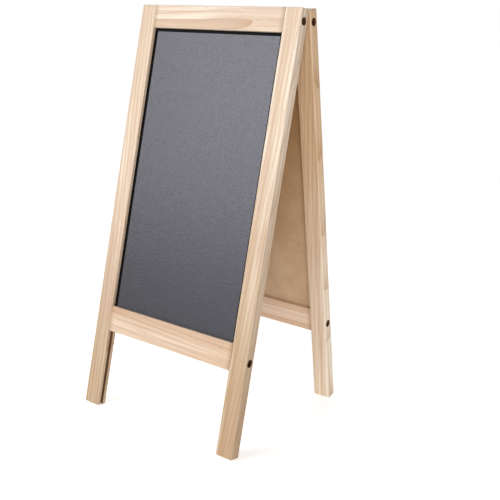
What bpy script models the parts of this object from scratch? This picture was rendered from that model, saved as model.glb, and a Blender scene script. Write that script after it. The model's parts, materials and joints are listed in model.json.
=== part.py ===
"""Kids tabletop easel: two hinged pine frames, each with a chalkboard held in a groove.

Metres, +Z up, X from left to right, -Y to the front. The origin lies on the surface that
the easel stands on, under the middle of its hinge line. Both frames are the same: each is
modelled hanging straight down from the hinge axis, then its pivot tilts it outward.
"""

import math

import bmesh
import bpy
from mathutils import Vector

MM = 0.001

# Frame members, in sawn and eased pine
FRAME_WIDTH = 185 * MM
LEG_LENGTH = 400 * MM
LEG_WIDTH = 17.5 * MM
FRAME_THICKNESS = 11 * MM
TOP_RAIL_HEIGHT = 22 * MM
BOTTOM_RAIL_HEIGHT = 25 * MM
OPENING_HEIGHT = 276.5 * MM
EDGE_RADIUS = 0.8 * MM
EDGE_STEPS = 2

# Writing board and the groove that holds it
BOARD_THICKNESS = 2.8 * MM
FRONT_LIP = 3.8 * MM
GROOVE_DEPTH = 4 * MM
BOARD_EDGE_RADIUS = 0.3 * MM

# Gap between pieces that touch, and how far a cutter reaches past what it cuts
FIT_GAP = 0.3 * MM
CUT_PAST = 3 * MM

# Stance: the half angle between the frames, and the gap between them when folded
HALF_ANGLE = math.radians(11.4)
FOLDED_GAP = 1 * MM

# Frame screws: one through each leg into each rail end, its head sunk in a counterbore
COUNTERBORE_DEPTH = 6.5 * MM
COUNTERBORE_RADIUS = 3.5 * MM
FRAME_SCREW_LENGTH = 28 * MM
FRAME_THREAD_LENGTH = 17 * MM
FRAME_SCREW_RADIUS = 1.5 * MM
FRAME_HEAD_RADIUS = 2.9 * MM
FRAME_HEAD_HEIGHT = 2 * MM

# Small butt hinges let into the top rails, one towards each end, their leaves flush with the rails
HINGE_FROM_LEG = 17.5 * MM
HINGE_LENGTH = 25 * MM
KNUCKLES = 3
KNUCKLE_GAP = 0.3 * MM
BARREL_RADIUS = 1.1 * MM
PIN_RADIUS = 0.5 * MM
LEAF_THICKNESS = 0.6 * MM
LEAF_EDGE_MARGIN = 2.5 * MM
PIN_HEAD_RADIUS = 1 * MM
PIN_HEAD_HEIGHT = 0.4 * MM

# Hinge screws: two countersunk screws in each leaf
HINGE_SCREW_FROM_END = 4.5 * MM
HINGE_SCREW_LENGTH = 8 * MM
HINGE_THREAD_LENGTH = 6.5 * MM
HINGE_SCREW_RADIUS = 0.9 * MM
HINGE_HEAD_RADIUS = 1.8 * MM

# Screw details shared by both kinds
THREAD_PITCH = 2 * MM
THREAD_ROOT_SHARE = 0.72
TIP_LENGTH = 3 * MM
RECESS_ARM_SHARE = 0.62
RECESS_SLOT_SHARE = 0.2
DOME_HEIGHT_SHARE = 0.35
DOME_TOP_SHARE = 0.7
PIN_END_SHARE = 0.75
FRAME_RECESS_DEPTH = 1.2 * MM
HINGE_RECESS_DEPTH = 0.7 * MM

SCREW_SEGMENTS = 10
HOLE_SEGMENTS = 20
BARREL_SEGMENTS = 16
SMOOTH_ANGLE = math.radians(30)

# Derived sizes
GROOVE_WIDTH = BOARD_THICKNESS + 2 * FIT_GAP
AXIS_ABOVE_FRAME = BARREL_RADIUS - LEAF_THICKNESS
INNER_FACE = FOLDED_GAP / 2
OUTER_FACE = INNER_FACE + FRAME_THICKNESS
BOARD_MIDDLE = OUTER_FACE - FRONT_LIP - GROOVE_WIDTH / 2
FRAME_MIDDLE = (INNER_FACE + OUTER_FACE) / 2
HALF_OPENING = FRAME_WIDTH / 2 - LEG_WIDTH
FRAME_TOP = -AXIS_ABOVE_FRAME
OPENING_TOP = FRAME_TOP - TOP_RAIL_HEIGHT
OPENING_BOTTOM = OPENING_TOP - OPENING_HEIGHT
TOP_SCREW_HEIGHT = FRAME_TOP - TOP_RAIL_HEIGHT / 2
BOTTOM_SCREW_HEIGHT = OPENING_BOTTOM - (GROOVE_DEPTH + BOTTOM_RAIL_HEIGHT) / 2
HINGE_OFFSET = HALF_OPENING - HINGE_FROM_LEG - HINGE_LENGTH / 2
LEAF_WIDTH = OUTER_FACE - LEAF_EDGE_MARGIN
LEAF_SCREW_LINE = (BARREL_RADIUS + KNUCKLE_GAP + LEAF_WIDTH) / 2
LEAF_TOP = -BARREL_RADIUS + LEAF_THICKNESS
BORE_RADIUS = PIN_RADIUS + FIT_GAP

# Height of the hinge axis, with the inner edges of the feet on the ground
AXIS_HEIGHT = (AXIS_ABOVE_FRAME + LEG_LENGTH) * math.cos(HALF_ANGLE) - (
    INNER_FACE + EDGE_RADIUS
) * math.sin(HALF_ANGLE)

LEFT, RIGHT = -1, 1
SIDES = {"left": LEFT, "right": RIGHT}


def clear_scene():
    for obj in list(bpy.data.objects):
        bpy.data.objects.remove(obj)


def material(name, colour, roughness, metallic=0.0):
    mat = bpy.data.materials.new(name)
    mat.use_nodes = True
    shader = mat.node_tree.nodes["Principled BSDF"]
    shader.inputs["Base Color"].default_value = (*colour, 1)
    shader.inputs["Roughness"].default_value = roughness
    shader.inputs["Metallic"].default_value = metallic
    return mat


def add_object(name, mesh, parent=None, location=(0, 0, 0), mat=None):
    obj = bpy.data.objects.new(name, mesh)
    bpy.context.collection.objects.link(obj)
    obj.parent = parent
    obj.location = location
    if mat and not mesh.materials:
        mesh.materials.append(mat)
    return obj


def make_cutter(obj):
    obj.hide_render = True
    obj.display_type = "WIRE"
    return obj


def box_mesh(name, size):
    """A box centred on its own origin."""
    bm = bmesh.new()
    bmesh.ops.create_cube(bm, size=1)
    bmesh.ops.scale(bm, vec=size, verts=bm.verts)
    mesh = bpy.data.meshes.new(name)
    bm.to_mesh(mesh)
    bm.free()
    return mesh


def turned_mesh(name, profile, segments):
    """A solid turned round +X from (distance along X, radius) points; it starts and ends at radius 0."""
    bm = bmesh.new()
    rings = []
    for along, radius in profile:
        if radius == 0:
            rings.append([bm.verts.new((along, 0, 0))])
            continue
        angles = (2 * math.pi * i / segments for i in range(segments))
        rings.append([bm.verts.new((along, radius * math.cos(t), radius * math.sin(t))) for t in angles])
    for first, second in zip(rings, rings[1:]):
        for i in range(segments):
            j = (i + 1) % segments
            corners = (first[i % len(first)], first[j % len(first)])
            corners += (second[j % len(second)], second[i % len(second)])
            bm.faces.new(dict.fromkeys(corners))
    bmesh.ops.recalc_face_normals(bm, faces=bm.faces)
    mesh = bpy.data.meshes.new(name)
    bm.to_mesh(mesh)
    bm.free()
    mesh.shade_smooth()
    mesh.set_sharp_from_angle(angle=SMOOTH_ANGLE)
    return mesh


def extruded_mesh(name, outline, start, end):
    """A prism along +X, from start to end, over a closed outline of (y, z) points."""
    bm = bmesh.new()
    first = [bm.verts.new((start, y, z)) for y, z in outline]
    last = [bm.verts.new((end, y, z)) for y, z in outline]
    bm.faces.new(first)
    bm.faces.new(last)
    for i in range(len(outline)):
        j = (i + 1) % len(outline)
        bm.faces.new((first[i], first[j], last[j], last[i]))
    bmesh.ops.recalc_face_normals(bm, faces=bm.faces)
    mesh = bpy.data.meshes.new(name)
    bm.to_mesh(mesh)
    bm.free()
    mesh.shade_smooth()
    mesh.set_sharp_from_angle(angle=SMOOTH_ANGLE)
    return mesh


def cross_outline(arm, half_slot):
    """The outline of a cross, for a screw's recess."""
    outline = []
    for quarter in range(4):
        turn = math.pi / 2 * quarter
        for across, out in ((half_slot, half_slot), (half_slot, arm), (-half_slot, arm)):
            y = across * math.cos(turn) - out * math.sin(turn)
            z = across * math.sin(turn) + out * math.cos(turn)
            outline.append((y, z))
    return outline


def leaf_outline():
    """A leaf's section: a flat plate that rolls round the pin as the barrel, in one piece."""
    meets = math.pi - math.asin(LEAF_TOP / BARREL_RADIUS)
    outline = [(-LEAF_WIDTH, LEAF_TOP), (-LEAF_WIDTH, -BARREL_RADIUS)]
    for step in range(BARREL_SEGMENTS + 1):
        turn = -math.pi / 2 + (meets + math.pi / 2) * step / BARREL_SEGMENTS
        outline.append((BARREL_RADIUS * math.cos(turn), BARREL_RADIUS * math.sin(turn)))
    return outline


def ease_edges(obj, radius):
    bevel = obj.modifiers.new("eased_edges", "BEVEL")
    bevel.width = radius
    bevel.segments = EDGE_STEPS
    bevel.limit_method = "ANGLE"


def cut(obj, cutter):
    boolean = obj.modifiers.new(cutter.name, "BOOLEAN")
    boolean.operation = "DIFFERENCE"
    boolean.object = cutter


def thread_profile(start, end, radius):
    """Points down a thread: ridges a pitch apart between two lengths, which end in a point."""
    root = radius * THREAD_ROOT_SHARE
    points = [(start, root)]
    crest = start + THREAD_PITCH / 2
    while crest < end - TIP_LENGTH:
        points += [(crest, radius), (crest + THREAD_PITCH / 2, root)]
        crest += THREAD_PITCH
    return [*points, (end, 0)]


def screw_mesh(name, head, length, thread_length, radius, recess_depth):
    """A wood screw that points along +X, with the top of its head at the origin."""
    thread_start = length - thread_length
    shank = [(thread_start, head[-1][1])]
    profile = [(0, 0), *head, *shank, *thread_profile(thread_start, length, radius)]
    blank = add_object(name, turned_mesh(name, profile, SCREW_SEGMENTS))
    head_radius = max(r for _, r in head)
    cross = cross_outline(head_radius * RECESS_ARM_SHARE, head_radius * RECESS_SLOT_SHARE)
    recess = add_object(f"{name}_recess", extruded_mesh(name, cross, -CUT_PAST, recess_depth))
    cut(blank, recess)
    depsgraph = bpy.context.evaluated_depsgraph_get()
    mesh = bpy.data.meshes.new_from_object(blank.evaluated_get(depsgraph))
    mesh.name = name
    bpy.data.objects.remove(blank)
    bpy.data.objects.remove(recess)
    return mesh


def frame_screw_mesh():
    dome = FRAME_HEAD_HEIGHT * DOME_HEIGHT_SHARE
    head = [
        (0, FRAME_HEAD_RADIUS * DOME_TOP_SHARE),
        (dome, FRAME_HEAD_RADIUS),
        (FRAME_HEAD_HEIGHT, FRAME_HEAD_RADIUS),
        (FRAME_HEAD_HEIGHT, FRAME_SCREW_RADIUS),
    ]
    length = FRAME_HEAD_HEIGHT + FRAME_SCREW_LENGTH
    size = (length, FRAME_THREAD_LENGTH, FRAME_SCREW_RADIUS)
    return screw_mesh("frame_screw", head, *size, FRAME_RECESS_DEPTH)


def hinge_screw_mesh():
    head = [(0, HINGE_HEAD_RADIUS), (HINGE_HEAD_RADIUS - HINGE_SCREW_RADIUS, HINGE_SCREW_RADIUS)]
    size = (HINGE_SCREW_LENGTH, HINGE_THREAD_LENGTH, HINGE_SCREW_RADIUS)
    return screw_mesh("hinge_screw", head, *size, HINGE_RECESS_DEPTH)


def pivot(name, turned_round):
    """The empty on the hinge axis that a frame hangs from. turned_round is for the rear frame."""
    empty = bpy.data.objects.new(name, None)
    bpy.context.collection.objects.link(empty)
    empty.location = (0, 0, AXIS_HEIGHT)
    empty.rotation_euler = (-HALF_ANGLE, 0, math.pi if turned_round else 0)
    return empty


def frame_screw_places():
    """(rail, side, place of the head's top, sign of the side) of each screw, seen from the frame's face."""
    head_top = FRAME_WIDTH / 2 - COUNTERBORE_DEPTH + FIT_GAP + FRAME_HEAD_HEIGHT
    for rail, height in (("top", TOP_SCREW_HEIGHT), ("bottom", BOTTOM_SCREW_HEIGHT)):
        for side, sign in SIDES.items():
            yield rail, side, Vector((sign * head_top, -FRAME_MIDDLE, height)), sign


def hinge_screw_places():
    """(hinge side, end, place of the head's top) of each hinge screw in one leaf."""
    from_middle = HINGE_LENGTH / 2 - HINGE_SCREW_FROM_END
    for side, sign in SIDES.items():
        for end, along in SIDES.items():
            x = sign * HINGE_OFFSET + along * from_middle
            yield side, end, Vector((x, -LEAF_SCREW_LINE, LEAF_TOP))


def frame_screw_hole(name, place, sign, parent):
    """Cuts the counterbore and clearance hole in a leg, and the pilot hole in the rail behind it."""
    floor = FRAME_HEAD_HEIGHT + FIT_GAP
    tip = FRAME_HEAD_HEIGHT + FRAME_SCREW_LENGTH + FIT_GAP
    hole = FRAME_SCREW_RADIUS + FIT_GAP
    start = -COUNTERBORE_DEPTH - CUT_PAST
    profile = [(start, 0), (start, COUNTERBORE_RADIUS), (floor, COUNTERBORE_RADIUS), (floor, hole)]
    profile += [(tip - TIP_LENGTH, hole), (tip + FIT_GAP, 0)]
    mesh = turned_mesh(name, profile, HOLE_SEGMENTS)
    cutter = make_cutter(add_object(name, mesh, parent, place))
    cutter.rotation_euler = (0, 0, math.pi if sign == RIGHT else 0)
    return cutter


def hinge_screw_hole(name, place, parent):
    """Cuts the countersink in a leaf and the pilot hole in the rail under it."""
    slope = HINGE_HEAD_RADIUS - HINGE_SCREW_RADIUS
    rim = HINGE_HEAD_RADIUS + FIT_GAP
    hole = HINGE_SCREW_RADIUS + FIT_GAP
    profile = [(-CUT_PAST, 0), (-CUT_PAST, rim), (0, rim), (slope, hole)]
    profile += [(HINGE_SCREW_LENGTH - TIP_LENGTH + FIT_GAP, hole), (HINGE_SCREW_LENGTH + 2 * FIT_GAP, 0)]
    cutter = make_cutter(add_object(name, turned_mesh(name, profile, HOLE_SEGMENTS), parent, place))
    cutter.rotation_euler = (0, math.pi / 2, 0)
    return cutter


def leaf_seat(name, x, parent):
    """Cuts the shallow seat in a top rail that a leaf lies flush in, with room for the barrel and pin."""
    length = HINGE_LENGTH + 2 * (PIN_HEAD_HEIGHT + 2 * FIT_GAP)
    low_y, high_y = -LEAF_WIDTH - FIT_GAP, CUT_PAST
    low_z, high_z = -BARREL_RADIUS - FIT_GAP, FRAME_TOP + CUT_PAST
    mesh = box_mesh(name, (length, high_y - low_y, high_z - low_z))
    return make_cutter(add_object(name, mesh, parent, (x, (low_y + high_y) / 2, (low_z + high_z) / 2)))


def world_side(side, turned_round):
    """The side as seen from the front of the easel; the rear frame is turned round."""
    return {"left": "right", "right": "left"}[side] if turned_round else side


def grooves(frame, parent):
    """Cutters for the groove: it runs the full length of the legs, and along each rail's inner edge."""
    reach = 2 * (HALF_OPENING + GROOVE_DEPTH)
    long = LEG_LENGTH + 2 * CUT_PAST
    in_legs = box_mesh(f"{frame}_leg_groove", (reach, GROOVE_WIDTH, long))
    in_rails = box_mesh(f"{frame}_rail_groove", (reach, GROOVE_WIDTH, OPENING_HEIGHT + 2 * GROOVE_DEPTH))
    leg_place = (0, -BOARD_MIDDLE, FRAME_TOP - LEG_LENGTH / 2)
    rail_place = (0, -BOARD_MIDDLE, OPENING_TOP - OPENING_HEIGHT / 2)
    leg_groove = make_cutter(add_object(in_legs.name, in_legs, parent, leg_place))
    rail_groove = make_cutter(add_object(in_rails.name, in_rails, parent, rail_place))
    return leg_groove, rail_groove


def build_legs(frame, parent, turned_round, groove, holes, pine):
    for side, sign in SIDES.items():
        name = f"{frame}_{world_side(side, turned_round)}_leg"
        x = sign * (FRAME_WIDTH - LEG_WIDTH) / 2
        mesh = box_mesh(name, (LEG_WIDTH, FRAME_THICKNESS, LEG_LENGTH))
        leg = add_object(name, mesh, parent, (x, -FRAME_MIDDLE, FRAME_TOP - LEG_LENGTH / 2), pine)
        ease_edges(leg, EDGE_RADIUS)
        cut(leg, groove)
        for rail in ("top", "bottom"):
            cut(leg, holes[rail, side])


def build_rails(frame, parent, groove, holes, leaf_holes, pine):
    length = 2 * (HALF_OPENING - FIT_GAP)
    rails = {"top": (TOP_RAIL_HEIGHT, FRAME_TOP - TOP_RAIL_HEIGHT / 2)}
    rails["bottom"] = (BOTTOM_RAIL_HEIGHT, OPENING_BOTTOM - BOTTOM_RAIL_HEIGHT / 2)
    for rail, (height, middle) in rails.items():
        name = f"{frame}_{rail}_rail"
        mesh = box_mesh(name, (length, FRAME_THICKNESS, height))
        obj = add_object(name, mesh, parent, (0, -FRAME_MIDDLE, middle), pine)
        ease_edges(obj, EDGE_RADIUS)
        cut(obj, groove)
        for side in SIDES:
            cut(obj, holes[rail, side])
        if rail == "top":
            for side, sign in SIDES.items():
                cut(obj, leaf_seat(f"{frame}_{side}_seat", sign * HINGE_OFFSET, parent))
            for hole in leaf_holes.values():
                cut(obj, hole)


def build_board(frame, parent, chalkboard):
    margin = 2 * (GROOVE_DEPTH - FIT_GAP)
    size = (2 * HALF_OPENING + margin, BOARD_THICKNESS, OPENING_HEIGHT + margin)
    place = (0, -BOARD_MIDDLE, OPENING_TOP - OPENING_HEIGHT / 2)
    board = add_object(f"{frame}_board", box_mesh(f"{frame}_board", size), parent, place, chalkboard)
    ease_edges(board, BOARD_EDGE_RADIUS)


def knuckle_ends(index):
    """The two ends along X of one knuckle, measured from the middle of the hinge."""
    pitch = HINGE_LENGTH / KNUCKLES
    start = -HINGE_LENGTH / 2 + index * pitch
    left = start + (KNUCKLE_GAP / 2 if index else 0)
    right = start + pitch - (KNUCKLE_GAP / 2 if index < KNUCKLES - 1 else 0)
    return left, right


def build_leaf(name, x, parent, own, holes, brass):
    """A leaf with its own knuckles rolled round the pin, and notches for the other leaf's knuckles."""
    half = HINGE_LENGTH / 2
    leaf = add_object(name, extruded_mesh(name, leaf_outline(), -half, half), parent, (x, 0, 0), brass)
    across = 2 * (BARREL_RADIUS + KNUCKLE_GAP)
    for index in range(KNUCKLES):
        if index % 2 == own:
            continue
        left, right = knuckle_ends(index)
        left -= KNUCKLE_GAP if index else CUT_PAST
        right += KNUCKLE_GAP if index < KNUCKLES - 1 else CUT_PAST
        notch = box_mesh(f"{name}_notch_{index}", (right - left, across, across))
        place = (x + (left + right) / 2, 0, 0)
        cut(leaf, make_cutter(add_object(notch.name, notch, parent, place)))
    profile = [(-half - CUT_PAST, 0), (-half - CUT_PAST, BORE_RADIUS)]
    profile += [(half + CUT_PAST, BORE_RADIUS), (half + CUT_PAST, 0)]
    bore = turned_mesh(f"{name}_bore", profile, BARREL_SEGMENTS)
    cut(leaf, make_cutter(add_object(bore.name, bore, parent, (x, 0, 0))))
    for hole in holes:
        cut(leaf, hole)


def build_pins(parent, brass):
    """A riveted pin for each hinge: it carries the rear leaf and rides with the front frame."""
    half = HINGE_LENGTH / 2
    end = half + FIT_GAP
    tip = end + PIN_HEAD_HEIGHT
    bevel = PIN_HEAD_RADIUS * PIN_END_SHARE
    profile = [(-tip, 0), (-tip, bevel), (-end - PIN_HEAD_HEIGHT / 2, PIN_HEAD_RADIUS), (-end, PIN_HEAD_RADIUS)]
    profile += [(-end, PIN_RADIUS), (end, PIN_RADIUS)]
    profile += [(end, PIN_HEAD_RADIUS), (end + PIN_HEAD_HEIGHT / 2, PIN_HEAD_RADIUS), (tip, bevel), (tip, 0)]
    mesh = turned_mesh("hinge_pin", profile, BARREL_SEGMENTS)
    for side, sign in SIDES.items():
        add_object(f"{side}_hinge_pin", mesh, parent, (sign * HINGE_OFFSET, 0, 0), brass)


def build_frame(frame, turned_round, screws, mats):
    parent = pivot(f"{frame}_frame_pivot", turned_round)
    leg_groove, rail_groove = grooves(frame, parent)
    holes, leaf_holes = {}, {}
    for rail, side, place, sign in frame_screw_places():
        name = f"{frame}_{rail}_{world_side(side, turned_round)}_screw"
        holes[rail, side] = frame_screw_hole(f"{name}_hole", place, sign, parent)
        screw = add_object(name, screws["frame"], parent, place, mats["black_steel"])
        screw.rotation_euler = (0, 0, math.pi if sign == RIGHT else 0)
    for side, end, place in hinge_screw_places():
        hinge, position = world_side(side, turned_round), world_side(end, turned_round)
        name = f"{hinge}_hinge_{frame}_{position}_screw"
        leaf_holes[side, end] = hinge_screw_hole(f"{name}_hole", place, parent)
        screw = add_object(name, screws["hinge"], parent, place, mats["brass"])
        screw.rotation_euler = (0, math.pi / 2, 0)
    build_legs(frame, parent, turned_round, leg_groove, holes, mats["pine"])
    build_rails(frame, parent, rail_groove, holes, leaf_holes, mats["pine"])
    build_board(frame, parent, mats["chalkboard"])
    for side, sign in SIDES.items():
        name = f"{world_side(side, turned_round)}_hinge_{frame}_leaf"
        own = [hole for (hinge, _), hole in leaf_holes.items() if hinge == side]
        build_leaf(name, sign * HINGE_OFFSET, parent, int(turned_round), own, mats["brass"])
    return parent


def main():
    clear_scene()
    mats = {
        "pine": material("pine", (0.72, 0.52, 0.34), 0.55),
        "chalkboard": material("chalkboard", (0.08, 0.085, 0.09), 0.75),
        "black_steel": material("black_steel", (0.03, 0.03, 0.035), 0.45, 0.9),
        "brass": material("brass", (0.68, 0.5, 0.22), 0.35, 1.0),
    }
    screws = {"frame": frame_screw_mesh(), "hinge": hinge_screw_mesh()}
    front = build_frame("front", False, screws, mats)
    build_frame("rear", True, screws, mats)
    build_pins(front, mats["brass"])


main()
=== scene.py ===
"""Looks of the kids tabletop easel: two hinged pine frames, each holding a chalkboard in a groove.

Every piece is built in the axes of its own frame: the origin on the hinge axis, X along it,
-Y out of the frame's face and -Z down its legs. The frame's matrix then tilts it into place.
"""

import json
import math

import bmesh
import bpy
from mathutils import Matrix, Vector, noise

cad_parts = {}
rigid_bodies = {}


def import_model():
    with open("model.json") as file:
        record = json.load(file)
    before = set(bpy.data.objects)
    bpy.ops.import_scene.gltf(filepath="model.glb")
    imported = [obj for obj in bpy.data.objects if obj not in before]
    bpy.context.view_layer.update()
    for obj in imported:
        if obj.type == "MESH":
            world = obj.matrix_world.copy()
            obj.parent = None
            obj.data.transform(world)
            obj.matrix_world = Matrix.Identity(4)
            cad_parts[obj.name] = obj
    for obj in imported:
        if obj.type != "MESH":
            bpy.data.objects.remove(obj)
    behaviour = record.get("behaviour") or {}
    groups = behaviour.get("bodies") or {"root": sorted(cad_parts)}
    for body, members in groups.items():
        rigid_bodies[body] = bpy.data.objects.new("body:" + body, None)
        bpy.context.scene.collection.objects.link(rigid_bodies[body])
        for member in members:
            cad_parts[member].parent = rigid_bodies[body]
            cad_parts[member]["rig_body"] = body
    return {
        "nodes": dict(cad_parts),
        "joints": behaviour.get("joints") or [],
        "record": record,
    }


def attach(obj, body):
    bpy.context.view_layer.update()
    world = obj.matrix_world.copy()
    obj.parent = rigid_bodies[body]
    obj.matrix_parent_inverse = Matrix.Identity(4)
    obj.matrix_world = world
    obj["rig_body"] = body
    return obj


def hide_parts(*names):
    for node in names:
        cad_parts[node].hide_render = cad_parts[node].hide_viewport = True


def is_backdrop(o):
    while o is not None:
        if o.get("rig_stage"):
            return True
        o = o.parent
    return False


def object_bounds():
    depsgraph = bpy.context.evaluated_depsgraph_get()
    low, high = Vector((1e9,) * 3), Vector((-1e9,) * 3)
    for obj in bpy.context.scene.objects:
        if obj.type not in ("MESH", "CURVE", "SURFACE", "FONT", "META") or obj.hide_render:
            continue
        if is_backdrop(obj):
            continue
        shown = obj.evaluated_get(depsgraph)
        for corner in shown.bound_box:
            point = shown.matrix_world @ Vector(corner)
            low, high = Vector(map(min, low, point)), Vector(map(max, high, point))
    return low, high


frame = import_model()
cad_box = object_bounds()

MM = 0.001

# Camera: its direction and distance from the middle of the easel, and where it looks
CAMERA_AZIMUTH = math.radians(37.6)
CAMERA_ELEVATION = math.radians(12.6)
CAMERA_DISTANCE = 0.791
CAMERA_YAW = math.radians(35.3)
CAMERA_PITCH = math.radians(-12.46)
CAMERA_ROLL = math.radians(2.34)
CAMERA_LENS = 57.86
CAMERA_SHIFT_Y = -0.076

# Timber: eased edges, and how much the hand sanding varies them
EASED_RADIUS = 0.8 * MM
EASED_STEPS = 5
EASED_VARIATION = 0.22
SANDING_LENGTH = 34 * MM
STATION_SPACING = 5 * MM
RAIL_END_EASE = 0.12 * MM
RAIL_END_GAP = 0.06 * MM
SEAM_REACH = 0.5 * MM
GROOVE_CLEARANCE = 0.3 * MM
GROOVE_CHAMFER = 0.15 * MM

# Writing board
BOARD_EDGE_RADIUS = 0.3 * MM
BOARD_EDGE_STEPS = 3
BOARD_CORNER_RADIUS = 0.6 * MM
# Width of the band along the lips that is painted black and dull as their shadow
LIP_SHADOW_WIDTH = 3 * MM

# Frame screws and the holes they sit in
COUNTERBORE_RADIUS = 3.5 * MM
COUNTERBORE_CHAMFER = 0.3 * MM
FRAME_HEAD_RADIUS = 2.9 * MM
FRAME_HEAD_HEIGHT = 2 * MM
FRAME_HEAD_EASE = FRAME_HEAD_HEIGHT / 4
FRAME_SCREW_RADIUS = 1.5 * MM
FRAME_THREAD_LENGTH = 17 * MM
FRAME_RECESS_DEPTH = 1.2 * MM
HOLE_CLEARANCE = 0.3 * MM
CUT_PAST = 3 * MM

# Hinges and their screws
BARREL_RADIUS = 1.1 * MM
BARREL_STEPS = 40
LEAF_THICKNESS = 0.6 * MM
LEAF_CORNER_RADIUS = 1.4 * MM
LEAF_CORNER_STEPS = 6
KNUCKLES = 3
KNUCKLE_GAP = 0.3 * MM
PIN_RADIUS = 0.5 * MM
PIN_HEAD_RADIUS = 1 * MM
PIN_HEAD_HEIGHT = 0.4 * MM
PIN_HEAD_STEPS = 6
HINGE_HEAD_RADIUS = 1.8 * MM
HINGE_HEAD_EDGE = LEAF_THICKNESS / 8
HINGE_SCREW_RADIUS = 0.9 * MM
HINGE_THREAD_LENGTH = 6.5 * MM
HINGE_RECESS_DEPTH = 0.7 * MM

# Screw threads and recesses
THREAD_PITCH = 2 * MM
THREAD_ROOT_SHARE = 0.72
THREAD_ROWS = 10
THREAD_FLANK = 2.4
HEAD_EASE_STEPS = 4
TIP_LENGTH = 3 * MM
SCREW_SEGMENTS = 28
HOLE_SEGMENTS = 48
CROSS_ARM_SHARE = 0.62
CROSS_SLOT_SHARE = 0.13
CROSS_TAPER = 0.55
CROSS_LID_SHARE = 0.02

# Edges sharper than this stay sharp, and a marked hollow reaches just past its own surface
SMOOTH_ANGLE = math.radians(32)
HOLLOW_REACH = 1.02

# A face of the board is painted where its normal's Y is below this
PAINTED_NORMAL = -0.5

# Radians that a screw turns per millimetre of its place, so that the recesses point different ways
SCREW_SPIN = 0.7

# Pine: the pith of each member's log lies beside it, and its place and its tilt in radians go with a seed
SEEDS = {"front": 1, "rear": 11}
SEED_STEPS = (0.37, 0.61, 0.23)
RING_SPACING = 4.4 * MM
RING_SHARPNESS = 4
RING_WANDER = 9 * MM
RING_WANDER_SCALE = (30, 30, 4)
PITH_ACROSS = 21 * MM
PITH_DEEP = 46 * MM
PITH_DEEP_SWING = 0.4
PITH_TURN = 1.9
PITH_DEEP_TURN = 1.7
LOG_TILT = 0.07
LOG_TILT_TURN = 1.3

PINE_PALE = (0.83, 0.735, 0.62)
PINE_WARM = (0.60, 0.435, 0.30)
PINE_LATE = (0.46, 0.285, 0.175)
PINE_ROSE = (0.68, 0.53, 0.44)
# The pore colour also darkens the seams where members meet, as painted shade
PINE_PORE_AND_SEAM_SHADE = (0.36, 0.21, 0.12)
# The edge colour lightens eased edges: partly sanding wear, partly a painted highlight
PINE_EDGE_WEAR_AND_HIGHLIGHT = (0.86, 0.77, 0.65)
# Painted shade inside the counterbores
PINE_BORE_SHADE = (0.10, 0.045, 0.02)
# Painted shade inside the grooves
PINE_GROOVE_SHADE = (0.20, 0.095, 0.045)

# Noise layers: their scale per metre, the range of the noise over which they come to show, how much they
# show at least (nothing, unless it is given) and at most, and their colour. Pine's are drawn out along Z,
# the way of its grain
PINE_RINGS = dict(scale=(90, 90, 3), detail=3, shows=(0.3, 0.65), least=0.25, most=1)
PINE_BANDS = dict(scale=(110, 110, 1.8), detail=2, shows=(0.42, 0.64), most=1, colour=PINE_WARM)
PINE_BLUSH = dict(scale=(40, 40, 9), detail=2, shows=(0.48, 0.66), most=0.7, colour=PINE_ROSE)
PINE_STREAKS = dict(scale=(420, 420, 9), detail=3, roughness=0.6, shows=(0.45, 0.65), most=0.7,
                    colour=PINE_WARM)
PINE_FIBRES = dict(scale=(1400, 1400, 30), detail=3, roughness=0.6, shows=(0.4, 0.75), most=0.35,
                   colour=PINE_WARM)
PINE_PORES = dict(scale=(1000, 1000, 110), detail=2, shows=(0.68, 0.76), most=0.55, colour=PINE_PORE_AND_SEAM_SHADE)
CHALK_CLOUDS = dict(scale=(14, 14, 9), detail=4, roughness=0.55, shows=(0.35, 0.7), most=0.008,
                    colour=(0.5, 0.5, 0.54))
PAINT_TOOTH = dict(scale=(620, 620, 620), detail=3, roughness=0.8, shows=(0.35, 0.7), most=0.45,
                   colour=(0.003, 0.003, 0.004))
LIP_SHADOW_TOOTH = dict(scale=(750, 750, 750), detail=4, roughness=0.75, shows=(0.35, 0.7), most=1,
                    colour=(0.002, 0.002, 0.002))
BOARD_CLOUDS = dict(scale=(60, 60, 60), detail=4, roughness=0.6, shows=(0.35, 0.65), most=1,
                    colour=(0.53, 0.325, 0.17))
BOARD_FLECKS = dict(scale=(900, 900, 380), detail=3, roughness=0.65, shows=(0.55, 0.75), most=0.5,
                    colour=(0.30, 0.17, 0.085))
BOARD_STRANDS = dict(scale=(500, 500, 1400), rotation=(0, 1.1, 0), detail=2, roughness=0.6,
                     shows=(0.58, 0.75), most=0.4, colour=(0.74, 0.55, 0.34))
TARNISH = dict(scale=(700, 700, 700), detail=4, roughness=0.6, shows=(0.4, 0.7), most=0.7)
DRAWN_LINES = dict(scale=(400, 6000, 6000), detail=2)

# How much each mark that is stored on the timber's mesh shows, and in what colour: worn edges lighten
# partly as a painted highlight, and the groove, counterbores and seams darken as painted shade
PINE_MARKS = (("wear_and_highlight", 0.75, PINE_EDGE_WEAR_AND_HIGHLIGHT), ("groove", 0.85, PINE_GROOVE_SHADE), ("bore", 1, PINE_BORE_SHADE),
              ("seam_shade", 0.6, PINE_PORE_AND_SEAM_SHADE))

# Painted light and shade down the frame, on timber and hardboard: (height, tint) at two heights, even
# beyond them
EVEN = (1, 1, 1)
# Rear legs darker and warmer up high and lighter low down, as painted shade and light
REAR_LEG_PAINTED_LIGHT = ((-0.12, (0.93, 0.78, 0.62)), (-0.28, (1.12, 1.13, 1.11)))
# Front legs darker towards their feet, as painted shade
LEG_PAINTED_LIGHT = {
    "front_left": ((-0.17, EVEN), (-0.36, (0.66, 0.58, 0.48))),
    "front_right": ((-0.08, EVEN), (-0.34, (0.66, 0.58, 0.48))),
    "rear_left": REAR_LEG_PAINTED_LIGHT,
    "rear_right": REAR_LEG_PAINTED_LIGHT,
}
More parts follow.
